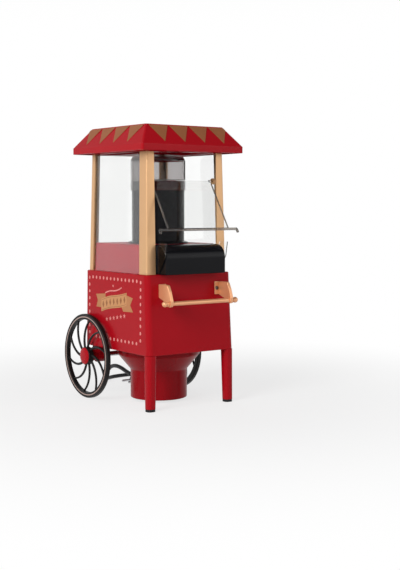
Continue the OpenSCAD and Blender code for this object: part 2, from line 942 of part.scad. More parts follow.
base_shell();
base_floor();
motor_housing();
intake_grille();
inner_deck();
outlet_chute();
spout_guard_left();
spout_guard_right();
post_front_left();
post_front_right();
post_rear_left();
post_rear_right();
top_frame();
window_left();
window_right();
window_rear();
popping_chamber();
chimney();
hood();
fan_shroud();
heater_former();
heater_coil();
motor_can();
motor_mount();
thermostat();
thermal_fuse();
rectifier_board();
leg_left();
leg_right();
foot_left();
foot_right();
axle_bracket_left();
axle_bracket_right();
axle();
bracket_left();
bracket_right();
handle_bar();
handle_end_left();
handle_end_right();
bracket_screws();
floor_screws();
switch_frame();
strain_relief();
canopy();
roof_liner();
kernel_cup();
fan_impeller();
motor_shaft();
flap_pane();
flap_lip();
wheel_left();
wheel_right();
hub_cap_left();
hub_cap_right();
rocker();
cord();
cord_coil();
cord_end();
cord_tie();
plug();
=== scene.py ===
"""Tabletop popcorn cart: finishes, moulded skins, trim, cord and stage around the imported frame."""
import math

import bmesh
import bpy
import numpy as np
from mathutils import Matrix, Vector


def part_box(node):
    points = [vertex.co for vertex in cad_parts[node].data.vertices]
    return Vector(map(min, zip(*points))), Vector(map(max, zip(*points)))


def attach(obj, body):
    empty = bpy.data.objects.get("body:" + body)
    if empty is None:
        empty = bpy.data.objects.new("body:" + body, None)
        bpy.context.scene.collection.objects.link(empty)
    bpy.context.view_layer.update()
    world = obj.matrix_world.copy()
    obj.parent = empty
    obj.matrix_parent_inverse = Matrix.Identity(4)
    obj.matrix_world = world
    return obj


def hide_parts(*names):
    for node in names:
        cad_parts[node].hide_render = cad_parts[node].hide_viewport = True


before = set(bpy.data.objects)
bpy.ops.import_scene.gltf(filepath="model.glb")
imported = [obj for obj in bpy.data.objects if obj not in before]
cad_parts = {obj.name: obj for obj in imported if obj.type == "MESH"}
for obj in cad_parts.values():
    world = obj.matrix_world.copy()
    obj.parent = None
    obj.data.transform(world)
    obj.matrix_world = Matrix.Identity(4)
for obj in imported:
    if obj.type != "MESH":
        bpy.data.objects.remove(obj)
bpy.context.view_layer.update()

MM = 0.001
SIDES = ((1, "right"), (-1, "left"))


def span(node):
    """Lowest and highest corner of a frame node, in millimetres."""
    low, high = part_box(node)
    return np.array(low) / MM, np.array(high) / MM


def middle(node):
    """Middle of a frame node's box, in millimetres."""
    low, high = span(node)
    return (low + high) / 2


# ---- driving sizes, in millimetres, read from the frame ----

BASE_LOW, BASE_HIGH = span("base_shell")
BASE_FLOOR = BASE_LOW[2]
BASE_TOP = BASE_HIGH[2]
SIDE_LEAN = 1.2
FRONT_LEAN = 7.0
ROOF_LOW, ROOF_HIGH = span("canopy")
MID_Y = middle("canopy")[1]
FLUE_Y = middle("motor_housing")[1]
CABINET_TOP = span("post_front_left")[1][2]
DECK_Z = span("inner_deck")[1][2]
WHEEL_MID = middle("wheel_left")
WHEEL_R = (span("wheel_left")[1][2] - span("wheel_left")[0][2]) / 2
WALL = 2.4


# ---- camera ----

def place_camera():
    """A long lens, a little above the machine, looking at its front left corner."""
    eye = (-932.5, -1380.9 + MID_Y, 302.5)
    yaw = math.radians(36.33)
    pitch = math.radians(4.29)
    focal_px = 1072.8
    tall_px = 570
    sensor_mm = 36.0
    data = bpy.data.cameras.new("camera")
    data.sensor_width = sensor_mm
    data.lens = focal_px * sensor_mm / tall_px
    data.clip_end = 60
    camera = bpy.data.objects.new("camera", data)
    bpy.context.collection.objects.link(camera)
    camera.location = [v * MM for v in eye]
    camera.rotation_euler = (math.pi / 2 - pitch, 0, -yaw)
    bpy.context.scene.camera = camera


# ---- surfaces worked out as arrays ----

def mesh_piece(name, points, faces, smooth):
    """A piece from points in millimetres and faces, shaded smooth up to an angle in degrees."""
    mesh = bpy.data.meshes.new(name)
    mesh.from_pydata((np.asarray(points, float) * MM).tolist(), [], faces)
    mesh.validate()
    mesh.update()
    piece = bpy.data.objects.new(name, mesh)
    bpy.context.collection.objects.link(piece)
    if smooth:
        mesh.shade_smooth()
        if smooth < 180:
            mesh.set_sharp_from_angle(angle=math.radians(smooth))
    return piece


def grid_faces(rows, cols, wrap_rows):
    """Quads of a grid that closes round its columns, with its rows open or closed."""
    last = rows if wrap_rows else rows - 1
    i, j = np.meshgrid(np.arange(last), np.arange(cols), indexing="ij")
    up = (i + 1) % rows
    right = (j + 1) % cols
    quads = np.stack([i * cols + j, i * cols + right, up * cols + right, up * cols + j], -1)
    return quads.reshape(-1, 4).tolist()


def skin(rings, close=False):
    """Points and faces of a skin through equal rings; open ends are closed by a flat face."""
    rings = np.asarray(rings, float)
    rows, cols = rings.shape[:2]
    faces = grid_faces(rows, cols, close)
    if not close:
        faces.append(list(range(cols))[::-1])
        faces.append(list(range((rows - 1) * cols, rows * cols)))
    return rings.reshape(-1, 3), faces


def joined(*parts):
    """Several (points, faces) as one."""
    faces, start = [], 0
    for points, own_faces in parts:
        faces += [[start + k for k in face] for face in own_faces]
        start += len(points)
    return np.concatenate([part[0] for part in parts]), faces


def handed(side, shape):
    """A (points, faces) shape as drawn for side 1, and its mirror image for side -1."""
    points, faces = shape
    return points * [side, 1, 1], faces


def full_turn(count):
    """Evenly spaced angles round a full turn."""
    return np.arange(count) * 2 * math.pi / count


def round_rect(w, d, r, steps):
    """A rectangle w by d whose corners are quarter circles of radius r, counterclockwise."""
    turn = np.linspace(0, math.pi / 2, steps + 1)
    corners = []
    for k, (sx, sy) in enumerate([(1, 1), (-1, 1), (-1, -1), (1, -1)]):
        a = turn + k * math.pi / 2
        cx, cy = sx * (w / 2 - r), sy * (d / 2 - r)
        corners.append(np.stack([cx + r * np.cos(a), cy + r * np.sin(a)], -1))
    return np.concatenate(corners)


def level(ring, z, y=MID_Y):
    """A flat ring of points set at height z and centred on y."""
    return np.column_stack([ring + [0, y], np.full(len(ring), float(z))])


RING_SIDE = 12
RING_CORNER = 6


def wide_ring(w, d, r, z, y=MID_Y):
    """A rounded rectangle w by d at height z, with evenly spaced points along its sides."""
    corners = round_rect(w, d, r, RING_CORNER).reshape(4, RING_CORNER + 1, 2)
    t = (np.arange(1, RING_SIDE + 1) / (RING_SIDE + 1))[:, None]
    runs = [np.vstack([c, c[-1] + (corners[(k + 1) % 4][0] - c[-1]) * t])
            for k, c in enumerate(corners)]
    return level(np.concatenate(runs), z, y)


def circle_ring(r, z, y=MID_Y):
    """A circle at height z; its even angles start where they go with wide_ring's points."""
    a = math.pi / 5 + full_turn(4 * (RING_CORNER + 1 + RING_SIDE))
    return level(np.column_stack([r * np.cos(a), r * np.sin(a)]), z, y)


def lathe(profile, steps):
    """A surface of revolution: each (radius, height) point goes round Z in even angles. A pole
    has radius 0, and is kept as a tiny ring."""
    profile = np.asarray(profile, float)
    a = full_turn(steps)
    r = np.maximum(profile[:, 0], 1e-4)[:, None]
    z = np.broadcast_to(profile[:, 1][:, None], (len(profile), steps))
    return np.stack([r * np.cos(a), r * np.sin(a), z], -1)


def turned(points, axis):
    """Points drawn round Z, turned so that Z lies along axis "x", "-x" or "y"."""
    x, y, z = np.moveaxis(points, -1, 0)
    ways = {"x": (z, x, y), "-x": (-z, -x, y), "y": (y, z, x)}
    return np.stack(ways[axis], -1)


def tipped(y, z, angle):
    """(y, z) turned about X, from Y towards Z."""
    c, s = math.cos(angle), math.sin(angle)
    return y * c - z * s, y * s + z * c


def arc(cx, cy, r, start, end, steps):
    """Points of an arc in degrees."""
    a = np.radians(np.linspace(start, end, steps + 1))
    return np.stack([cx + r * np.cos(a), cy + r * np.sin(a)], -1)


def path_frames(path):
    """Unit side and up vectors along a path, carried along its heading without twist."""
    heading = np.gradient(path, axis=0)
    heading /= np.linalg.norm(heading, axis=1)[:, None]
    side = np.empty_like(path)
    first = np.cross(heading[0], [0, 0, 1.0])
    if np.linalg.norm(first) < 1e-6:
        first = np.array([1.0, 0, 0])
    side[0] = first / np.linalg.norm(first)
    for k in range(1, len(path)):
        s = side[k - 1] - heading[k] * (side[k - 1] @ heading[k])
        side[k] = s / np.linalg.norm(s)
    return side, np.cross(side, heading)


def swept(path, across, up, sides=12):
    """A tube along a path: each point moves by across times a cosine to its side and by up
    times a sine; across and up are the half sizes, one for all points or one for each."""
    side, top = path_frames(path)
    a = full_turn(sides)
    across = np.broadcast_to(across, len(path))[:, None, None]
    up = np.broadcast_to(up, len(path))[:, None, None]
    turn_side = np.cos(a)[None, :, None] * side[:, None, :] * across
    turn_up = np.sin(a)[None, :, None] * top[:, None, :] * up
    return skin(path[:, None, :] + turn_side + turn_up)


def box_points(low, high):
    """Points and faces of a plain block between two corners."""
    x0, y0, z0 = low
    x1, y1, z1 = high
    points = [(x, y, z) for z in (z0, z1) for x, y in ((x0, y0), (x1, y0), (x1, y1), (x0, y1))]
    faces = [[3, 2, 1, 0], [4, 5, 6, 7], [0, 1, 5, 4], [1, 2, 6, 5], [2, 3, 7, 6], [3, 0, 4, 7]]
    return np.array(points, float), faces


def soften(piece, width, segments=3):
    """Rounds a piece's sharp edges with a live bevel, width in millimetres."""
    bevel = piece.modifiers.new("edges", "BEVEL")
    bevel.width = width * MM
    bevel.segments = segments
    bevel.limit_method = "ANGLE"
    bevel.angle_limit = math.radians(30)
    bevel.harden_normals = True


def fit_piece(piece, body, slot, material, *nodes):
    """Gives a new piece its finish and body, and hides the frame nodes that it stands for; slot is
    not used.
    """
    piece.data.materials.clear()
    piece.data.materials.append(material)
    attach(piece, body)
    if nodes:
        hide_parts(*nodes)


def solid_piece(name, shape, body, slot, material, *nodes, smooth=35):
    """A closed piece with its fit, its normals worked out again so that all point outwards."""
    piece = mesh_piece(name, *shape, smooth)
    mesh = bmesh.new()
    mesh.from_mesh(piece.data)
    bmesh.ops.recalc_face_normals(mesh, faces=mesh.faces)
    mesh.to_mesh(piece.data)
    mesh.free()
    fit_piece(piece, body, slot, material, *nodes)
    return piece


# ---- finishes ----

def add_node(tree, kind, sockets=None, **attributes):
    """A new node with its attributes set; each named input takes a value or another's output."""
    node = tree.nodes.new(kind)
    for name, value in attributes.items():
        setattr(node, name, value)
    for name, value in (sockets or {}).items():
        if isinstance(value, bpy.types.NodeSocket):
            tree.links.new(value, node.inputs[name])
        else:
            node.inputs[name].default_value = value
    return node


def end_in_mix(tree, factor, first, second, end="Material Output"):
    """Ends a material or the world in a mix of two shaders; a factor of 0 is the first alone."""
    mix = add_node(tree, "ShaderNodeMixShader",
                   {"Fac": factor, 1: first.outputs[0], 2: second.outputs[0]})
    tree.links.new(mix.outputs["Shader"], tree.nodes[end].inputs["Surface"])


def surface_group():
    """Shared finish: two colours mixed in soft patches, uneven roughness and a fine grain."""
    group = bpy.data.node_groups.new("surface_finish", "ShaderNodeTree")
    for name, kind, value in (
            ("Colour", "Color", (0.5, 0.5, 0.5, 1)), ("Patch Colour", "Color", (0.4, 0.4, 0.4, 1)),
            ("Patch Scale", "Float", 12.0), ("Roughness", "Float", 0.3),
            ("Roughness Spread", "Float", 0.08), ("Grain Scale", "Float", 900.0),
            ("Grain Depth", "Float", 0.00001), ("Stretch", "Vector", (1, 1, 1))):
        socket = group.interface.new_socket(name=name, in_out="INPUT",
                                            socket_type="NodeSocket" + kind)
        socket.default_value = value
    for name, kind in (("Colour", "Color"), ("Roughness", "Float"), ("Normal", "Vector")):
        group.interface.new_socket(name=name, in_out="OUTPUT", socket_type="NodeSocket" + kind)
    given = add_node(group, "NodeGroupInput").outputs
    place = add_node(group, "ShaderNodeTexCoord").outputs["Object"]
    stretch = add_node(group, "ShaderNodeVectorMath", {0: place, 1: given["Stretch"]},
                       operation="MULTIPLY").outputs[0]
    patch, grain = [
        add_node(group, "ShaderNodeTexNoise",
                 {"Vector": stretch, "Scale": given[scale], "Detail": detail}).outputs["Fac"]
        for scale, detail in (("Patch Scale", 3), ("Grain Scale", 2))]
    mix = add_node(group, "ShaderNodeMix", {"Factor": patch, "A": given["Colour"],
                                            "B": given["Patch Colour"]}, data_type="RGBA")
    centred = add_node(group, "ShaderNodeMath", {0: patch, 1: 0.5}, operation="SUBTRACT")
    rough = add_node(group, "ShaderNodeMath",
                     {0: centred.outputs[0], 1: given["Roughness Spread"], 2: given["Roughness"]},
                     operation="MULTIPLY_ADD", use_clamp=True)
    bump = add_node(group, "ShaderNodeBump",
                    {"Strength": 1.0, "Height": grain, "Distance": given["Grain Depth"]})
    add_node(group, "NodeGroupOutput", {"Colour": mix.outputs["Result"],
                                        "Roughness": rough.outputs[0],
                                        "Normal": bump.outputs["Normal"]})
    return group


SURFACE = surface_group()


def finish(name, colour, patch, scale=12.0, rough=0.3, spread=0.1, grain=900.0,
           depth=0.01, stretch=(1, 1, 1), gloss=0.5, metal=0.0):
    """A material of one finish. Colours are linear, depth is in millimetres."""
    material = bpy.data.materials.new(name)
    material.use_nodes = True
    tree = material.node_tree
    shader = tree.nodes["Principled BSDF"]
    shared = add_node(tree, "ShaderNodeGroup", {
        "Colour": (*colour, 1), "Patch Colour": (*patch, 1), "Patch Scale": scale,
        "Roughness": rough, "Roughness Spread": spread, "Grain Scale": grain,
        "Grain Depth": depth * MM, "Stretch": stretch}, node_tree=SURFACE)
    for output, socket in (("Colour", "Base Color"), ("Roughness", "Roughness"),
                           ("Normal", "Normal")):
        tree.links.new(shared.outputs[output], shader.inputs[socket])
    shader.inputs["Specular IOR Level"].default_value = gloss
    shader.inputs["Metallic"].default_value = metal
    material.diffuse_color = (*colour, 1)
    return material


def see_through(name, tint, rough, ior=1.49, shade=0.9):
    """A clear or smoked moulding: tinted glass that lets the lamps' light through."""
    material = finish(name, tint, tint, rough=rough, spread=0.05, grain=60.0, depth=0.004,
                      gloss=0.3)
    tree = material.node_tree
    shader = tree.nodes["Principled BSDF"]
    shader.inputs["Transmission Weight"].default_value = 1.0
    shader.inputs["IOR"].default_value = ior
    path = add_node(tree, "ShaderNodeLightPath")
    open_way = add_node(tree, "ShaderNodeBsdfTransparent",
                        {"Color": (*[c * shade for c in tint], 1)})
    end_in_mix(tree, path.outputs["Is Shadow Ray"], shader, open_way)
    return material


RED = finish("red_moulding", (0.43, 0.0045, 0.012), (0.37, 0.003, 0.008), scale=9, rough=0.26,
             spread=0.09, grain=420, depth=0.006, gloss=0.1)
# A rougher red for the cabinet's deck and the roof's liner, darker than the outer red as painted
# shade.
RED_INNER_SHADED = finish("red_inner_painted_shade", (0.29, 0.004, 0.013), (0.25, 0.003, 0.010), scale=14,
                   rough=0.42, grain=700, gloss=0.15)
# The outer red darkened as painted shade, for the parts under the base: housing, floor and axle
# brackets.
RED_SHADED_UNDERSIDE = finish("red_underside_painted_shade", (0.32, 0.0035, 0.009), (0.27, 0.0025, 0.006), scale=9,
                   rough=0.28, spread=0.09, grain=420, depth=0.006, gloss=0.1)
GOLD = finish("gold_post_paint", (0.70, 0.42, 0.22), (0.64, 0.37, 0.18), scale=16, rough=0.34,
              spread=0.12, grain=1500, depth=0.008, metal=0.5, gloss=0.3)
GOLD_FOIL = finish("gold_foil", (0.36, 0.135, 0.055), (0.29, 0.10, 0.040), scale=40, rough=0.42,
                   spread=0.2, grain=1800, metal=0.1, gloss=0.15)
CREAM_INK = finish("cream_ink", (0.80, 0.30, 0.28), (0.72, 0.24, 0.22), scale=60, rough=0.45,
                   gloss=0.15)
RIBBON_INK = finish("ribbon_tan", (0.62, 0.31, 0.14), (0.54, 0.25, 0.10), scale=50, rough=0.42,
                    spread=0.16, grain=1500, gloss=0.15)
RIBBON_SHADE = finish("ribbon_tail_tan", (0.52, 0.23, 0.10), (0.44, 0.18, 0.07), scale=50,
                      rough=0.45, spread=0.16, grain=1500, gloss=0.15)
RIBBON_LINE = finish("ribbon_brown", (0.33, 0.13, 0.05), (0.27, 0.10, 0.035), scale=50, rough=0.45,
                     gloss=0.15)
COPPER = finish("copper_handle", (0.84, 0.42, 0.22), (0.76, 0.36, 0.17), scale=30, rough=0.32,
                spread=0.12, grain=1400, depth=0.008, metal=0.4)
# A bronze colour for the ring on the wheels' rims, painted where the rims' highlight falls.
BRONZE_HIGHLIGHT = finish("bronze_painted_highlight", (0.58, 0.42, 0.37), (0.48, 0.34, 0.29), scale=30, metal=0.8)
GLOSS_BLACK = finish("gloss_black", (0.006, 0.006, 0.008), (0.003, 0.003, 0.004), scale=10,
                     rough=0.22, spread=0.08, grain=300, depth=0.005, gloss=0.12)
WHEEL_BLACK = finish("wheel_black", (0.010, 0.008, 0.008), (0.006, 0.005, 0.005), scale=20,
                     rough=0.38, spread=0.12, gloss=0.2)
MATT_BLACK = finish("matt_black", (0.016, 0.016, 0.018), (0.010, 0.010, 0.011), scale=25,
                    rough=0.5, spread=0.12, grain=1600, depth=0.02, gloss=0.25)
RUBBER = finish("black_rubber", (0.014, 0.014, 0.015), (0.009, 0.009, 0.010), scale=30, rough=0.62,
                spread=0.15, grain=1300, depth=0.03, gloss=0.25)
CORD_BLACK = finish("cord_black", (0.014, 0.015, 0.017), (0.009, 0.009, 0.011), scale=60,
                    rough=0.42, spread=0.12, grain=800, depth=0.015, gloss=0.3)
ALUMINIUM = finish("spun_aluminium", (0.72, 0.73, 0.75), (0.60, 0.61, 0.63), scale=8, rough=0.32,
                   spread=0.15, grain=500, stretch=(1, 1, 14), metal=1.0)
STEEL = finish("bright_steel", (0.62, 0.62, 0.63), (0.50, 0.50, 0.52), scale=30, rough=0.24,
               spread=0.14, depth=0.006, stretch=(6, 1, 1), metal=1.0)
DARK_STEEL = finish("dark_screw_steel", (0.16, 0.15, 0.15), (0.11, 0.10, 0.10), scale=30,
                    rough=0.35, spread=0.14, metal=1.0)
MICA = finish("mica_board", (0.66, 0.60, 0.47), (0.50, 0.44, 0.33), scale=55, rough=0.5,
              spread=0.25, grain=600, depth=0.03)
CIRCUIT = finish("circuit_board", (0.03, 0.17, 0.07), (0.02, 0.12, 0.05), scale=70, rough=0.35)
WHITE_MARK = finish("white_mark", (0.80, 0.80, 0.78), (0.72, 0.72, 0.70), scale=60, rough=0.45)
CLEAR = see_through("clear_moulding", (0.975, 0.98, 0.975), 0.03)
# Clear plastic tinted dark brown as painted shade, for the dark line along the flap's edges.
CLEAR_EDGE_SHADED = see_through("clear_edge_painted_shade", (0.30, 0.27, 0.24), 0.12)
CLEAR_THIN = see_through("clear_thin_sheet", (0.96, 0.96, 0.95), 0.05, ior=1.2)
SMOKED = see_through("smoked_moulding", (0.42, 0.40, 0.40), 0.1, shade=0.75)

NODE_FINISH = {
    RED: ["leg_left", "leg_right", "top_frame"],
    # The red of the parts under the base is darkened as painted shade.
    RED_SHADED_UNDERSIDE: ["base_floor", "axle_bracket_left", "axle_bracket_right"],
    # The roof's liner takes the inner red, darkened as painted shade.
    RED_INNER_SHADED: ["roof_liner"],
    GOLD: ["post_rear_left", "post_rear_right"],
    CLEAR: ["window_left", "window_right", "window_rear", "flap_pane", "kernel_cup"],
    CLEAR_THIN: ["spout_guard_left", "spout_guard_right"],
    # The flap's lip has its dark tint painted as shade.
    CLEAR_EDGE_SHADED: ["flap_lip"],
    SMOKED: ["hood"],
    GLOSS_BLACK: ["chimney"],
    MATT_BLACK: ["intake_grille", "motor_mount", "thermostat", "switch_frame", "rocker",
                 "cord_tie"],
    RUBBER: ["foot_left", "foot_right"],
    ALUMINIUM: ["popping_chamber", "fan_shroud", "fan_impeller"],
    STEEL: ["heater_coil", "motor_can", "axle", "motor_shaft", "floor_screws"],
    MICA: ["heater_former", "thermal_fuse"],
    CIRCUIT: ["rectifier_board"],
}


def dress_nodes():
    """Gives each frame node that stays in view its own finish."""
    for material, names in NODE_FINISH.items():
        for name in names:
            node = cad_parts[name]
            node.data.materials.clear()
            node.data.materials.append(material)


# ---- power cord ----

CORD_R = 3.25
BOOT_Y = middle("cord_coil")[1] - 88
CORD_ROUTE = [
    (0, 0, 28), (0, 12, 30.5), (0, 28, 34.5), (0, 44, 36), (1, 60, 33), (4, 76, 25), (9, 92, 14),
    (17, 106, 6), (29, 117, 3.5), (45, 124.5, 3.3), (64, 127.5, 3.3), (84, 128, 3.3),
    (99, 127.3, 3.3), (113, 126.75, 3.3),
]
CORD_END = [
    (113, 49.25, 9.7), (106, 49.25, 9.4), (98, 49.25, 8.6), (90, 49.25, 7.6), (82, 49.25, 7.1),
    (76, 49.25, 7),
]


def smooth_route(points, steps):
    """A Catmull-Rom curve through the points, with steps points to each stretch."""
    p = np.asarray(points, float)
    a = np.vstack([p[:1], p[:-2]])
    b, c = p[:-1], p[1:]
    d = np.vstack([p[2:], p[-1:]])
    t = (np.arange(steps) / steps)[None, :, None]
    a, b, c, d = (v[:, None, :] for v in (a, b, c, d))
    curve = 0.5 * (2 * b + (c - a) * t + (2 * a - 5 * b + 4 * c - d) * t ** 2
                   + (3 * b - a - 3 * c + d) * t ** 3)
    return np.vstack([curve.reshape(-1, 3), p[-1:]])


def ease(t, start, end):
    """Rises smoothly from 0 at start to 1 at end, as three squares less two cubes."""
    x = np.clip((t - start) / (end - start), 0, 1)
    return x * x * (3 - 2 * x)


def coil_path():
    """Three and a half turns clockwise, two wide and two high: out and low, in, up, and out.
    The radius and the height are eased from one turn to the next."""
    turns = 3.5
    per_turn = 36
    mid = middle("cord_coil")
    mid_r = 35.5
    t = np.linspace(0, turns, int(turns * per_turn) + 1)
    radius = mid_r + CORD_R * (1 - 2 * ease(t, 0.82, 0.98) + 2 * ease(t, 2.48, 2.64))
    height = CORD_R + 0.05 + 2 * CORD_R * ease(t, 1.66, 1.84)
    a = math.pi / 2 - 2 * math.pi * t
    return np.column_stack([mid[0] + radius * np.cos(a), mid[1] + radius * np.sin(a), height])


def build_cord():
    """The lead from its boot, through the coil on the floor, to the plug."""
    base = np.array([0, BOOT_Y, 0])
    first = smooth_route(CORD_ROUTE, 4) + base
    last = smooth_route(CORD_END, 3) + base
    path = np.vstack([first[:-1], coil_path(), last[1:]])
    piece = mesh_piece("power_cord", *swept(path, CORD_R, CORD_R, 14), 180)
    fit_piece(piece, "frame", "cord_black", CORD_BLACK, "cord", "cord_coil", "cord_end")
    return piece, path, np.linalg.norm(np.diff(path, axis=0), axis=1).sum()


def build_plug():
    """A flat two-pin plug: a body that tapers to the cord, and two round pins. The body's
    section is an oval whose cosine and sine are raised to a power, which squares it off."""
    low, high = span("plug")
    mid = (low + high) / 2
    pin_l, pin_r, pin_y = 19, 2, 9.5
    body_l = high[0] - low[0] - pin_l
    # Share of the length from the cord, half width and half height.
    shape = np.array([(0, 4.6, 4.6), (0.06, 5.2, 5.0), (0.2, 6.2, 5.3), (0.4, 9.5, 5.8),
                      (0.6, 14.0, 6.3), (0.75, 16.2, 6.45), (0.96, 16.6, 6.45), (1, 16.0, 5.9)])
    a = full_turn(40)
    power = 0.72
    oval_y = np.sign(np.cos(a)) * np.abs(np.cos(a)) ** power
    oval_z = np.sign(np.sin(a)) * np.abs(np.sin(a)) ** power
    rings = [np.column_stack([np.full(len(a), high[0] - s * body_l), mid[1] + w * oval_y,
                              mid[2] + h * oval_z]) for s, w, h in shape]
    body = solid_piece("plug_body", skin(rings), "frame", "matte_black", MATT_BLACK, "plug",
                       smooth=50)
    pin = turned(lathe([(0, -pin_l), (1.2, -pin_l), (pin_r, -pin_l + 1.4), (pin_r, 0.5),
                        (0, 0.5)], 24), "x")
    pins = [skin(pin + [low[0] + pin_l, mid[1] + side * pin_y, mid[2]]) for side in (-1, 1)]
    metal = solid_piece("plug_pins", joined(*pins), "frame", "steel", STEEL, smooth=40)
    return body, metal


def build_boot():
    """The turned strain relief where the lead leaves the motor housing: a collar, then ribs
    whose radius falls evenly along it."""
    low, high = span("strain_relief")
    mid = (low + high) / 2
    length = high[1] - low[1]
    profile = [(0, 0), (5, 0), (5, 5.6), (7, 5.8), (7, 8.0), (5.8, 8.6)]
    ribs = 8
    start = 9.6
    pitch = (length - start - 2) / ribs
    for k in range(ribs):
        y = start + k * pitch
        rib_r = 5.5 - 1.3 * k / ribs
        groove_r = rib_r - 0.8
        profile += [(rib_r, y), (rib_r, y + 0.55 * pitch), (groove_r, y + 0.65 * pitch),
                    (groove_r, y + 0.95 * pitch)]
    profile += [(4.1, length - 1.6), (3.6, length), (0, length)]
    points = turned(lathe(profile, 40), "y") + [mid[0], low[1], mid[2]]
    solid_piece("cord_boot", skin(points), "frame", "rubber", RUBBER, "strain_relief", smooth=40)


def lay_cord():
    piece, path, length = build_cord()
    body, pins = build_plug()
    build_boot()


# ---- profiles and plates ----

def eased(corners, steps, closed=True):
    """A profile through (x, y, radius) corners; each arc touches both edges of its corner."""
    out = []
    last = len(corners) - 1
    for k, (x, y, r) in enumerate(corners):
        if r == 0 or (not closed and k in (0, last)):
            out.append((x, y))
            continue
        tip = np.array((x, y), float)
        a = np.array(corners[k - 1][:2], float) - tip
        b = np.array(corners[(k + 1) % (last + 1)][:2], float) - tip
        a, b = a / np.linalg.norm(a), b / np.linalg.norm(b)
        half = math.acos(float(np.clip(a @ b, -1, 1))) / 2
        mid = tip + (a + b) / np.linalg.norm(a + b) * r / math.sin(half)
        start, end = (tip + v * r / math.tan(half) - mid for v in (a, b))
        first = math.atan2(start[1], start[0])
        turn = (math.atan2(end[1], end[0]) - first + math.pi) % (2 * math.pi) - math.pi
        t = first + turn * np.linspace(0, 1, steps + 1)
        out += list(zip(mid[0] + r * np.cos(t), mid[1] + r * np.sin(t)))
    return np.array(out, float)


def plate(outline, x0, x1):
    """A flat plate between x0 and x1, its outline given as (y, z) points."""
    rings = [np.column_stack([np.full(len(outline), x), outline]) for x in (x0, x1)]
    return skin(rings)


def pierced(outline, hole, x0, x1):
    """A plate between x0 and x1 with a hole; outline and hole are equal rings of (y, z)."""
    rings = [np.column_stack([np.full(len(ring), x), ring])
             for ring, x in ((outline, x0), (outline, x1), (hole, x1), (hole, x0))]
    return skin(rings, close=True)


def even_shade(piece):
    """Weighs a piece's normals by face area, so that flat faces stay flat beside fillets."""
    weigh = piece.modifiers.new("even_shade", "WEIGHTED_NORMAL")
    weigh.keep_sharp = True
    return piece


def both_sides(shape):
    """A shape and its mirror image on the other side of the machine."""
    return joined(shape, handed(-1, shape))


# ---- red mouldings ----

BASE_W = BASE_HIGH[0] - BASE_LOW[0] - 2 * SIDE_LEAN
BASE_D = BASE_HIGH[1] - BASE_LOW[1] - SIDE_LEAN - FRONT_LEAN
BASE_R = 8
CORNER_STEPS = 8
SWITCH_LOW, SWITCH_HIGH = span("switch_frame")
BEZEL = 1.8
SWITCH_X = (SWITCH_LOW[0] + BEZEL, SWITCH_HIGH[0] - BEZEL)
SWITCH_Z = (SWITCH_LOW[2] + BEZEL, SWITCH_HIGH[2] - BEZEL)
ROOF_W, ROOF_D = (ROOF_HIGH - ROOF_LOW)[:2]
ROOF_TOP = ROOF_HIGH[2]
ROOF_BAND = 9.5
RIM_TOP = ROOF_LOW[2] + ROOF_BAND
TOP_SHARE = 0.77
DRUM_R = 44


def drop(z):
    """How far down the base box a height lies: 0 at its top edge, 1 at its bottom edge."""
    return (BASE_TOP - z) / (BASE_TOP - BASE_FLOOR)


def panel_x(z):
    """Half width of the base box at height z."""
    return BASE_W / 2 + SIDE_LEAN * drop(z)


def panel_y(z):
    """Y of the base box's front panel at height z."""
    return MID_Y - BASE_D / 2 - FRONT_LEAN * drop(z)


def base_ring(w, d, r):
    """A rounded rectangle with two more points on its back edge, beside the switch."""
    marks = [(SWITCH_X[1], d / 2), (SWITCH_X[0], d / 2)]
    at = CORNER_STEPS + 1
    return np.insert(round_rect(w, d, r, CORNER_STEPS), [at, at], marks, axis=0)


def wall_ring(z, inset, r):
    """The base box's outline at height z, drawn in by inset; its middle moves as it leans."""
    w = 2 * panel_x(z) - 2 * inset
    d = BASE_D + (SIDE_LEAN + FRONT_LEAN) * drop(z) - 2 * inset
    return level(base_ring(w, d, r), z, MID_Y + (SIDE_LEAN - FRONT_LEAN) / 2 * drop(z))


def build_base():
    """The base box: a wall carried round a leaning rounded rectangle, open below and above,
    with an opening for the switch."""
    low_r, top_r = 0.8, 1.4
    inner_r = BASE_R - WALL / 2
    hole_w, hole_d, hole_r, hole_y = 119.5, 137.9, 2, MID_Y + 2
    rings = [wall_ring(BASE_FLOOR + low_r * (1 + math.sin(a)), low_r * (1 - math.cos(a)), BASE_R)
             for a in np.radians([-90, -60, -30, 0])]
    outer = len(rings)
    rings += [wall_ring(SWITCH_Z[0], 0, BASE_R), wall_ring(SWITCH_Z[1], 0, BASE_R)]
    rings += [wall_ring(BASE_TOP - top_r * (1 - math.sin(a)), top_r * (1 - math.cos(a)), BASE_R)
              for a in np.radians([0, 22.5, 45, 67.5, 90])]
    rings += [level(base_ring(hole_w, hole_d, hole_r), z, hole_y)
              for z in (BASE_TOP, BASE_TOP - WALL)]
    rings.append(wall_ring(BASE_TOP - WALL, WALL, inner_r))
    inner = len(rings)
    rings += [wall_ring(z, WALL, inner_r) for z in (SWITCH_Z[1], SWITCH_Z[0], BASE_FLOOR)]
    points, faces = skin(rings, close=True)
    cols = len(rings[0])
    j = CORNER_STEPS + 1
    for row in (inner, outer):
        del faces[row * cols + j]
    edge = [(0, 0), (0, 1), (1, 1), (1, 0)]
    out_ring = [(outer + up) * cols + j + right for up, right in edge]
    in_ring = [(inner + 1 - up) * cols + j + right for up, right in edge]
    for k in range(4):
        m = (k + 1) % 4
        faces.append([out_ring[k], in_ring[k], in_ring[m], out_ring[m]])
    even_shade(solid_piece("base_body", (points, faces), "frame", "red_plastic", RED,
                           "base_shell"))


def roof_ring(scale, inset, z):
    """An outline of the roof at height z, scaled about its middle and drawn in by inset."""
    return wide_ring(ROOF_W * scale - 2 * inset, ROOF_D * scale - 2 * inset, 3 * scale, z)


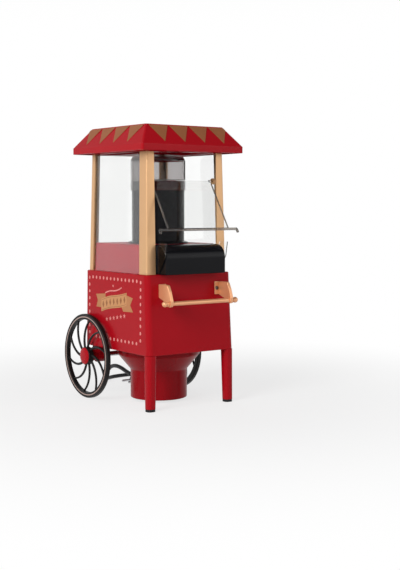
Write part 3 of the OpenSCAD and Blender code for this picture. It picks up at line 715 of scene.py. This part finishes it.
def build_canopy():
    """The roof: pocket floor, pocket wall, rim of the pocket, flat top, slope, band and back up
    inside, each a ring of points at its height."""
    pocket_r, under_r, seat_r = 29.5, 31.1, 32.5
    pocket_floor, seat = ROOF_TOP - 26, ROOF_TOP - 1.6
    rings = [circle_ring(pocket_r, pocket_floor), circle_ring(pocket_r, seat),
             circle_ring(seat_r, seat), circle_ring(seat_r, ROOF_TOP - 0.3),
             circle_ring(seat_r + 0.3, ROOF_TOP), roof_ring(TOP_SHARE, 1.2, ROOF_TOP),
             roof_ring(TOP_SHARE, 0.45, ROOF_TOP - 0.2), roof_ring(TOP_SHARE, 0, ROOF_TOP - 0.9)]
    slope = ROOF_TOP - RIM_TOP
    share = TOP_SHARE + (1 - TOP_SHARE) * (slope - 1.0) / slope
    rings += [roof_ring(share, 0, RIM_TOP + 1.0), roof_ring(1, 0.05, RIM_TOP + 0.25),
              roof_ring(1, 0, RIM_TOP - 0.5), roof_ring(1, 0, ROOF_LOW[2] + 0.7),
              roof_ring(1, 0.2, ROOF_LOW[2] + 0.2), roof_ring(1, 0.7, ROOF_LOW[2]),
              roof_ring(1, WALL, ROOF_LOW[2]), roof_ring(1, WALL, RIM_TOP),
              roof_ring(TOP_SHARE, WALL * TOP_SHARE, ROOF_TOP - WALL),
              circle_ring(under_r, ROOF_TOP - WALL), circle_ring(under_r, pocket_floor - WALL)]
    even_shade(solid_piece("canopy_skin", skin(rings), "roof", "red_plastic", RED, "canopy"))


def build_motor_housing():
    """The turned housing under the base: skirt, cone and drum, one wall thick."""
    skirt, foot_z, drum_z, cone_z = 64, 4, 48, 72
    profile = eased([(DRUM_R, foot_z, 1.2), (DRUM_R, drum_z, 5), (skirt, cone_z, 4),
                     (skirt, BASE_FLOOR, 0.3), (skirt - WALL, BASE_FLOOR, 0.3),
                     (skirt - WALL, cone_z + 1, 2), (DRUM_R - WALL, drum_z + 1, 3),
                     (DRUM_R - WALL, foot_z, 0.6)], 5)
    shape = skin(lathe(profile, 96) + [0, FLUE_Y, 0], close=True)
    # Its red is darkened as painted shade under the base.
    even_shade(solid_piece("blower_housing", shape, "frame", "red_plastic", RED_SHADED_UNDERSIDE,
                           "motor_housing"))


# ---- posts, chute and handle ----

# The flap's hinge pin, as (y, z).
HINGE = (-64.765 + MID_Y, 337.7)
POST_T = 2.4


def build_front_posts():
    """Angle posts that lean in with height, each with a bored lug that holds the flap's pin.
    The lug is half round behind the pin, and square in front of it where it meets the bar."""
    low_x, low_y = span("post_front_right")[1][0], span("post_front_right")[0][1] - MID_Y
    inner, top_share = 56.5, 0.95
    lug_r, reach, bore_r, lug_in, lug_out = 4.6, 11.6, 2.08, 57.5, 65.8

    def outline(s):
        """The bar's angle section, scaled about the machine's middle by s."""
        x, y, t = low_x * s, low_y * s, POST_T * s
        return eased([(inner, y, 0), (x, y, 2.6), (x, (low_y + 20) * s, 0),
                      (x - t, (low_y + 20) * s, 0), (x - t, y + t, 0.8), (inner, y + t, 0)], 5)

    bar = skin([level(outline(1), BASE_TOP), level(outline(top_share), CABINET_TOP)])
    a = full_turn(48)
    flat = np.minimum(lug_r / np.maximum(np.abs(np.sin(a)), 1e-6),
                      reach / np.maximum(np.abs(np.cos(a)), 1e-6))
    far = np.where(np.cos(a) >= 0, lug_r, flat)
    around = np.column_stack([np.cos(a), np.sin(a)])
    lug = pierced(around * far[:, None] + HINGE, around * bore_r + HINGE, lug_in, lug_out)
    shape = joined(bar, lug)
    for side, name in SIDES:
        post = solid_piece("angle_post_" + name, handed(side, shape), "frame", "gold_plastic",
                           GOLD, "post_front_" + name)
        soften(post, 0.35)


def build_chute():
    """The bullnose outlet: a rounded nose outline carried across the opening."""
    low, high = span("outlet_chute")
    front, back = low[1], high[1]
    outline = eased([(back, BASE_TOP, 0), (front, BASE_TOP, 1.5), (front, DECK_Z, 20),
                     (back, DECK_Z, 0)], 14)
    nose = solid_piece("bullnose_outlet", plate(outline, low[0], high[0]), "frame",
                       "gloss_black", GLOSS_BLACK, "outlet_chute")
    soften(nose, 1.4, 4)


BAR_Y, BAR_Z = middle("handle_bar")[1:]
BAR_R = 3.25
ARM_HALF = 2.5
BRACKET_X = span("bracket_right")[1][0] - ARM_HALF


def build_handle():
    """The push bar on its two arms, with a collar and a ball at each end."""
    half = span("handle_bar")[1][0]
    profile = eased([(0, -half, 0), (BAR_R, -half, 0.8), (BAR_R, half, 0.8), (0, half, 0)], 3,
                    closed=False)
    place = [0, BAR_Y, BAR_Z]
    even_shade(solid_piece("push_bar", skin(turned(lathe(profile, 40), "x") + place), "frame",
                           "copper_plastic", COPPER, "handle_bar"))
    collar_r, neck_r, ball_r, chamfer = BAR_R + 0.7, 2.6, 4.4, 0.4
    collar_in, collar_out, ball_x = BRACKET_X + 4.5, BRACKET_X + 6.5, BRACKET_X + 9.5
    profile = np.vstack([(0, collar_in), (collar_r - chamfer, collar_in),
                         (collar_r, collar_in + chamfer), (collar_r, collar_out - chamfer),
                         (collar_r - chamfer, collar_out), (neck_r, collar_out),
                         arc(0, ball_x, ball_r, -52, 90, 12)])
    knob = skin(turned(lathe(profile, 40), "x") + place)
    for side, name in SIDES:
        even_shade(solid_piece("bar_ball_" + name, handed(side, knob), "frame",
                               "copper_plastic", COPPER, "handle_end_" + name, smooth=50))


def build_brackets():
    """Cast arms between the base and the bar: a thick side plate and a foot with a screw."""
    foot_low, foot_high, foot_w, foot_t = BAR_Z + 7.5, BAR_Z + 27, 10, 2.2
    foot_mid = (foot_low + foot_high) / 2
    face = panel_y(foot_mid)
    outline = eased([
        (face - 0.1, foot_low, 0), (face + 0.1, foot_high, 0), (face - 22, foot_high, 4),
        (face - 27, BAR_Z + 17, 5), (BAR_Y - 5.4, BAR_Z + 3.4, 3), (BAR_Y - 4.4, BAR_Z - 4.2, 3.2),
        (BAR_Y + 2.5, BAR_Z - 5.6, 3), (face - 20, BAR_Z + 0.5, 6)], 5)
    arm = plate(outline, BRACKET_X - ARM_HALF, BRACKET_X + ARM_HALF)
    foot = box_points((BRACKET_X - foot_w, 0, foot_low), (BRACKET_X, 1, foot_high))
    back = foot[0][:, 1] > 0.5
    slope = np.array([panel_y(z) for z in foot[0][:, 2]])
    foot[0][:, 1] = np.where(back, slope - 0.02, slope - foot_t)
    screw = [(0, 5), (1.5, 5), (1.5, 0), (3, 0), (3, -0.6), (2.4, -1.2), (1.5, -1.4),
             (1.4, -0.7), (0, -0.7)]
    head = turned(lathe(screw, 28), "y")
    heads = []
    shape = joined(arm, foot)
    for side, name in SIDES:
        bracket = solid_piece("arm_" + name, handed(side, shape), "frame", "copper_plastic",
                              COPPER, "bracket_" + name)
        soften(bracket, 0.7)
        heads.append(skin(head + [side * (BRACKET_X - 6.5), face - foot_t, foot_mid]))
    solid_piece("arm_screws", joined(*heads), "frame", "steel", DARK_STEEL, "bracket_screws")


# ---- wheels ----

def wheel_shapes():
    """Local shapes about Z: the tyre-like rim, the bronze line painted on it as a highlight, hub and
    cap are turned, and each spoke is an oval tube along an arc of radius bend, from the hub out to
    the rim."""
    wide, hub_wide, lip = 7.0, 8, 0.5
    out_r, in_r, hub_r, bore_r, cap_r = WHEEL_R, WHEEL_R - 8.8, 14, 4.08, 13
    rim = eased([(in_r, 0, 1), (out_r, 0, 1.6), (out_r, wide, 1.6), (out_r - 1.3, wide, 0.2),
                 (out_r - 1.5, wide - lip, 0.2), (in_r + 1.5, wide - lip, 0.2),
                 (in_r + 1.3, wide, 0.2), (in_r, wide, 0.8)], 4)
    # A thin bronze ring round the middle of the rim's face: a painted highlight.
    mid_r, half = (out_r + in_r) / 2 - 0.4, 0.75
    line = eased([(mid_r - half, wide - 0.6, 0), (mid_r + half, wide - 0.6, 0),
                  (mid_r + half, wide - 0.1, 0.2), (mid_r - half, wide - 0.1, 0.2)], 2)
    bend, steps = 40.0, 14
    reach = np.array([11.5, in_r + 1.2])
    turn = np.linspace(*(2 * np.arcsin(reach / (2 * bend))), steps)
    path = np.column_stack([bend - bend * np.cos(turn), bend * np.sin(turn),
                            np.full(steps, wide / 2)])
    spoke, spoke_faces = swept(path, np.linspace(2.4, 1.35, steps), 1.7)
    spokes = []
    count = 10
    for k in range(count):
        a = 2 * math.pi * k / count
        spin = np.array([[math.cos(a), math.sin(a), 0], [-math.sin(a), math.cos(a), 0], [0, 0, 1]])
        spokes.append((spoke @ spin, spoke_faces))
    hub = eased([(bore_r, -1, 0), (hub_r, -1, 0.8), (hub_r, hub_wide, 1),
                 (bore_r, hub_wide, 0)], 3)
    cap = eased([(0, hub_wide, 0), (cap_r, hub_wide, 0), (cap_r, 8.7, 0.4), (11.6, 9.6, 0.9),
                 (7.8, 10.7, 3), (0, 11, 0)], 4, closed=False)
    black = joined(skin(lathe(rim, 120), close=True), *spokes,
                   skin(lathe(hub, 48), close=True))
    return black, skin(lathe(line, 120), close=True), skin(lathe(cap, 56))


def build_wheels():
    """Sets the wheel's shapes on the axle's two ends, the right side mirrored."""
    black, highlight_bands, cap = wheel_shapes()
    inner_x = span("wheel_left")[1][0] - 1
    place = np.array([inner_x, WHEEL_MID[1], WHEEL_MID[2]])
    for side, name in ((1, "left"), (-1, "right")):
        body = name + "_wheel"
        for shape, what, slot, material, nodes, angle in (
                (black, "spoked_rim_", "matte_black", WHEEL_BLACK, ["wheel_" + name], 40),
                # The bronze ring on the rim is a painted highlight.
                (highlight_bands, "rim_highlight_lines_", "copper_plastic", BRONZE_HIGHLIGHT, [], 40),
                (cap, "hub_dome_", "red_plastic", RED, ["hub_cap_" + name], 30)):
            shape = handed(side, (turned(shape[0], "-x") + place, shape[1]))
            even_shade(solid_piece(what + name, shape, body, slot, material, *nodes,
                                   smooth=angle))


# ---- painted trim ----

def scattered(shape, places):
    """Copies of one (points, faces) shape, moved to each place."""
    points, faces = shape
    spread = (places[:, None, :] + points[None]).reshape(-1, 3)
    return spread, [[k * len(points) + i for i in face]
                    for k in range(len(places)) for face in faces]


def on_side(outline, low, high):
    """A thin raised patch on the left panel; outline is (y, z) and heights are off the panel."""
    out_x = panel_x(outline[:, 1])
    rings = [np.column_stack([-(out_x + h), outline]) for h in (low, high)]
    return skin(rings)


def pennant(left, right, half_w):
    """A flag's outline on a slope, as (across, share of the way down), cut by the slope's hip."""
    margin, tip, hip_gap = 0.05, 0.86, 2.4
    foot = np.array([(left + right) / 2, tip])
    spread = half_w * (1 - TOP_SHARE)
    hip = half_w * TOP_SHARE + spread * margin - hip_gap
    if right <= hip:
        return np.array([(left, margin), (right, margin), foot])
    cut = (right - hip) / (spread * (tip - margin) + right - foot[0])
    corner = np.array([right, margin])
    return np.array([(left, margin), (hip, margin), corner + cut * (foot - corner), foot])


def build_pennants():
    """Four painted triangles on each slope of the roof, point down, raised a hair."""
    rise = ROOF_TOP - RIM_TOP
    proud, gap, count = 0.22, 1.1, 4
    shapes = []
    for half_w, half_d, way in ((ROOF_W / 2, ROOF_D / 2, 0), (ROOF_D / 2, ROOF_W / 2, 1)):
        for side in (-1, 1):
            run = half_d * (1 - TOP_SHARE)
            normal = np.array([0, side * rise, run]) / math.hypot(rise, run)
            edge = half_w * TOP_SHARE
            lefts = np.linspace(2.6 - edge, edge + 4.4, count + 1)
            for a, b in zip(lefts[:-1], lefts[1:]):
                flat = pennant(a + gap, b - gap, half_w)
                top = np.column_stack([
                    flat[:, 0], side * (half_d * TOP_SHARE + run * flat[:, 1]),
                    ROOF_TOP - rise * flat[:, 1]])
                rings = np.array([top - 0.1 * normal, top + proud * normal])
                if way:
                    rings = rings[..., [1, 0, 2]]
                shapes.append(skin(rings + [0, MID_Y, 0]))
    solid_piece("roof_pennants", joined(*shapes), "roof", "gold_plastic", GOLD_FOIL, smooth=0)


def build_side_dots():
    """A border of tall oval dots on each side panel: two level rows, and two columns that
    stop short of the rows' ends."""
    y_low, y_high, z_low, z_high = -71.5 + MID_Y, 74 + MID_Y, 98, 190
    across = np.linspace(y_low, y_high, 15)[1:-1]
    upright = np.linspace(z_low + 5.2, z_high - 1.2, 9)
    places = np.concatenate([np.column_stack([across, np.full(len(across), z)])
                             for z in (z_low, z_high)]
                            + [np.column_stack([np.full(len(upright), y), upright])
                               for y in (y_low, y_high)])
    a, narrow = full_turn(14), 0.78
    rings = [np.column_stack([np.full(len(a), -h), r * narrow * np.cos(a), r * np.sin(a)])
             for r, h in ((2.6, -0.1), (2.6, 0.18), (2.3, 0.28))]
    centres = np.column_stack([-panel_x(places[:, 1]), places])
    solid_piece("side_dots", both_sides(scattered(skin(rings), centres)), "frame",
                "gold_plastic", CREAM_INK, smooth=0)


def star(y, z, r):
    """A five-pointed star: ten points at even angles, every other one drawn in."""
    a = np.radians(90 + 36 * np.arange(10))
    reach = np.where(np.arange(10) % 2 == 0, r, r * 0.42)
    return np.column_stack([y + reach * np.cos(a), z + reach * np.sin(a)])


def ribbon_band(starts, rise, tall, bow):
    """A band between two (y, z) ends: its middle line is straight, plus half a sine wave of
    height bow and a whole one of height rise."""
    t = np.linspace(0, 1, 25)
    (y0, z0), (y1, z1) = starts
    y = y0 + (y1 - y0) * t
    z = z0 + (z1 - z0) * t + bow * np.sin(math.pi * t) + rise * np.sin(2 * math.pi * t)
    top = np.column_stack([y, z + tall / 2])
    low = np.column_stack([y, z - tall / 2])[::-1]
    return np.vstack([top, low])


def lozenge(y, z, wide, tall):
    """The outline of an upright diamond, as (y, z) points."""
    return np.array([(y - wide / 2, z), (y, z + tall / 2), (y + wide / 2, z), (y, z - tall / 2)])


def build_ribbon():
    """A slanted ribbon with a row of diamonds, two notched tails behind it, a swash above and
    a row of stars below, painted on each side panel."""
    mid_y, mid_z = 2.4 + MID_Y, 154.0
    rear_z, front_z, half = mid_z - 6.2, mid_z + 7.6, 36.0
    band = ribbon_band([(mid_y + half, rear_z), (mid_y - half, front_z)], 0.9, 19.5, 0.8)
    rear = np.array([(51.8, 10.1), (24.3, 12.5), (24.3, -3), (33, -9.6), (51.1, -9.4),
                     (46.7, 0.8)]) + (mid_y, mid_z)
    front = np.array([(-36, 13.4), (-53.1, 10.2), (-45.9, -0.7), (-53.8, -10.6), (-27, -11.4),
                      (-21, -4)]) + (mid_y, mid_z)
    swash = ribbon_band([(mid_y + 25, mid_z + 13.6), (mid_y - 22, mid_z + 24)], 1.2, 1.9, -0.8)
    share = np.linspace(0, 1, 6)
    stars = [star(mid_y + 20 - 50 * k, mid_z - 26.5 + 8.5 * k, 3.6) for k in share]
    stars.append(star(mid_y + 2, mid_z + 25.5, 2.4))
    share = np.linspace(0.08, 0.92, 7)
    slope = front_z - rear_z
    wave = 0.9 * np.sin(2 * math.pi * share) + 0.8 * np.sin(math.pi * share)
    marks = [lozenge(mid_y + half * (1 - 2 * k), rear_z + slope * k + h, 5.4, 11.5)
             for k, h in zip(share, wave)]
    rules = [ribbon_band([(mid_y + half - 1, rear_z + side * 7.9),
                          (mid_y - half + 1, front_z + side * 7.9)], 0.9, 0.7, 0.8)
             for side in (-1, 1)]
    for name, outlines, low, high, material in (
            ("ribbon_tails", [rear, front], -0.1, 0.16, RIBBON_SHADE),
            ("ribbon_band", [band], -0.1, 0.26, RIBBON_INK),
            ("ribbon_swash", [swash, *stars], -0.1, 0.26, CREAM_INK),
            ("ribbon_diamonds", [*marks, *rules], 0.1, 0.34, RIBBON_LINE)):
        shape = both_sides(joined(*[on_side(outline, low, high) for outline in outlines]))
        solid_piece(name, shape, "frame", "gold_plastic", material, smooth=0)


# ---- cabinet and small parts ----

def build_deck():
    """The red box in the cabinet's floor: a wall carried over its eased edge to the round
    hole of the chimney and back underneath."""
    low, high = span("inner_deck")
    w, d = (high - low)[:2]
    y = (low[1] + high[1]) / 2
    edge_r, corner_r, hole_r = 2.0, 2.5, 38.1
    rings = [wide_ring(w, d, corner_r, low[2], y)]
    for a in np.radians([0, 22.5, 45, 67.5, 90]):
        inset = 2 + edge_r * (1 - math.cos(a))
        rings.append(wide_ring(w - 2 * inset, d - inset, corner_r,
                               high[2] - edge_r * (1 - math.sin(a)), y - inset / 2))
    rings += [circle_ring(hole_r, high[2], FLUE_Y), circle_ring(hole_r, high[2] - WALL, FLUE_Y),
              wide_ring(w - 9, d - 7, 1.5, high[2] - WALL, y - 1),
              wide_ring(w - 2 * WALL, d - 2 * WALL, 1.5, low[2], y)]
    # Its red is darkened as painted shade inside the cabinet.
    even_shade(solid_piece("cabinet_floor", skin(rings, close=True), "frame", "red_plastic",
                           RED_INNER_SHADED, "inner_deck"))


FLAP_ANGLE = math.radians(32.6)


def on_flap(points):
    """Points of the flap's own frame, hinge at the origin, turned to its rest angle."""
    x, y, z = np.moveaxis(points, -1, 0)
    y, z = tipped(y, z, -FLAP_ANGLE)
    return np.stack([x, y + HINGE[0], z + HINGE[1]], -1)


def build_flap_trim():
    """Slim moulded beads down the flap's two sides."""
    half, bead_r = 55.3, 1.15
    down = np.linspace(-5, -82.5, 12)
    shapes = []
    for side in (-1, 1):
        path = np.column_stack([np.full_like(down, side * (half - 1.1)), np.zeros_like(down),
                                down])
        shapes.append(swept(on_flap(path), bead_r, bead_r, 10))
    # The beads' dark tint is painted shade.
    solid_piece("flap_beads", joined(*shapes), "flap", "clear_plastic", CLEAR_EDGE_SHADED, smooth=60)


def build_switch_marks():
    """The bar and the ring moulded on the rocker's two ends, in its resting tilt. Its face
    stands hollow off the pin in the middle and rises by rise over reach towards each end."""
    mid_x = middle("rocker")[0]
    pin_y, pin_z = 85.116 + MID_Y, 150
    tilt = math.radians(-8)
    hollow, rise, reach, sunk = 2.5, 1.1, 4.2, 0.04
    a = full_turn(20)
    ring = [np.column_stack([r * np.cos(a), np.full(len(a), h), r * np.sin(a)])
            for r, h in ((1.25, 0), (1.25, 0.2), (0.85, 0.2), (0.85, 0))]
    bar = box_points((-0.22, 0, -1.2), (0.22, 0.2, 1.2))
    away = 2.35
    parts = []
    for (points, faces), way in ((skin(ring, close=True), -1), (bar, 1)):
        y, z = tipped(points[:, 1], points[:, 2], -math.atan2(rise, reach) * way)
        y, z = tipped(y + hollow + rise * away / reach - sunk, z + way * away, tilt)
        parts.append((np.column_stack([points[:, 0] + mid_x, y + pin_y, z + pin_z]), faces))
    solid_piece("switch_marks", joined(*parts), "switch_rocker", "gold_plastic", WHITE_MARK,
                smooth=0)


# ---- floor, world and lamps ----

def seen_rays(tree):
    """1 for rays from the camera, off gloss and through glass, and 0 for the light itself."""
    path = add_node(tree, "ShaderNodeLightPath").outputs
    seen = path["Is Camera Ray"]
    for name in ("Is Glossy Ray", "Is Transmission Ray"):
        seen = add_node(tree, "ShaderNodeMath", {0: seen, 1: path[name]},
                        operation="MAXIMUM").outputs[0]
    return seen


def smooth_fade(tree, value, start, end, low, high):
    """low where the value is under start, high where it is over end, and smooth between."""
    return add_node(tree, "ShaderNodeMapRange",
                    {"Value": value, "From Min": start, "From Max": end, "To Min": low,
                     "To Max": high}, interpolation_type="SMOOTHSTEP").outputs["Result"]


def set_world(strength, ceiling):
    """A soft even light, seen as a white backdrop that dims to ceiling straight overhead."""
    world = bpy.data.worlds.new("studio")
    world.use_nodes = True
    tree = world.node_tree
    ambient = tree.nodes["Background"]
    ambient.inputs["Color"].default_value = (1, 1, 1, 1)
    ambient.inputs["Strength"].default_value = strength
    place = add_node(tree, "ShaderNodeTexCoord").outputs["Generated"]
    split = add_node(tree, "ShaderNodeSeparateXYZ", {0: place})
    dim = smooth_fade(tree, split.outputs["Z"], 0.15, 0.75, 1.0, ceiling)
    white = add_node(tree, "ShaderNodeBackground", {"Color": (1, 1, 1, 1), "Strength": dim})
    end_in_mix(tree, seen_rays(tree), ambient, white, "World Output")
    bpy.context.scene.world = world


def lay_floor():
    """A plain pale floor that fades into the white of the background."""
    half = 6000
    points = [(-half, -half, 0), (half, -half, 0), (half, half, 0), (-half, half, 0)]
    floor = mesh_piece("floor", points, [[0, 1, 2, 3]], 0)
    material = finish("pale_floor", (0.8, 0.8, 0.8), (0.78, 0.78, 0.78), scale=1.5,
                      rough=0.7, spread=0.05, grain=40, depth=0.001, gloss=0.2)
    tree = material.node_tree
    place = add_node(tree, "ShaderNodeTexCoord").outputs["Object"]
    reach = add_node(tree, "ShaderNodeVectorMath", {0: place}, operation="LENGTH")
    fade = smooth_fade(tree, reach.outputs["Value"], 0.2, 0.8, 0.72, 1.0)
    far = add_node(tree, "ShaderNodeMath", {0: fade, 1: seen_rays(tree)}, operation="MULTIPLY")
    end_in_mix(tree, far.outputs[0], tree.nodes["Principled BSDF"],
               add_node(tree, "ShaderNodeEmission"))
    floor.data.materials.append(material)


def hang_lamp(name, place, aim, power, size):
    """A square soft lamp at place, in metres, turned towards aim."""
    data = bpy.data.lights.new(name, "AREA")
    data.shape = "SQUARE"
    data.size = size
    data.energy = power
    lamp = bpy.data.objects.new(name, data)
    bpy.context.collection.objects.link(lamp)
    lamp.location = place
    heading = Vector(aim) - Vector(place)
    lamp.rotation_euler = heading.to_track_quat("-Z", "Y").to_euler()


def light_studio():
    """A key lamp at the left, a weak fill at the right and a faint one above and behind."""
    aim = (0, 0, 0.2)
    set_world(0.32, 0.1)
    hang_lamp("key_lamp", (-1.9, -0.75, 1.25), aim, 36, 1.0)
    hang_lamp("fill_lamp", (1.15, -1.55, 0.95), aim, 5, 1.1)
    hang_lamp("top_lamp", (0.2, 0.9, 1.8), aim, 3, 1.2)


# ---- making ----

place_camera()
lay_cord()
dress_nodes()
build_base()
build_canopy()
build_motor_housing()
build_front_posts()
build_deck()
build_chute()
build_handle()
build_brackets()
build_wheels()
build_flap_trim()
build_pennants()
build_side_dots()
build_ribbon()
build_switch_marks()
lay_floor()
light_studio()
bpy.context.scene.view_settings.view_transform = "Standard"
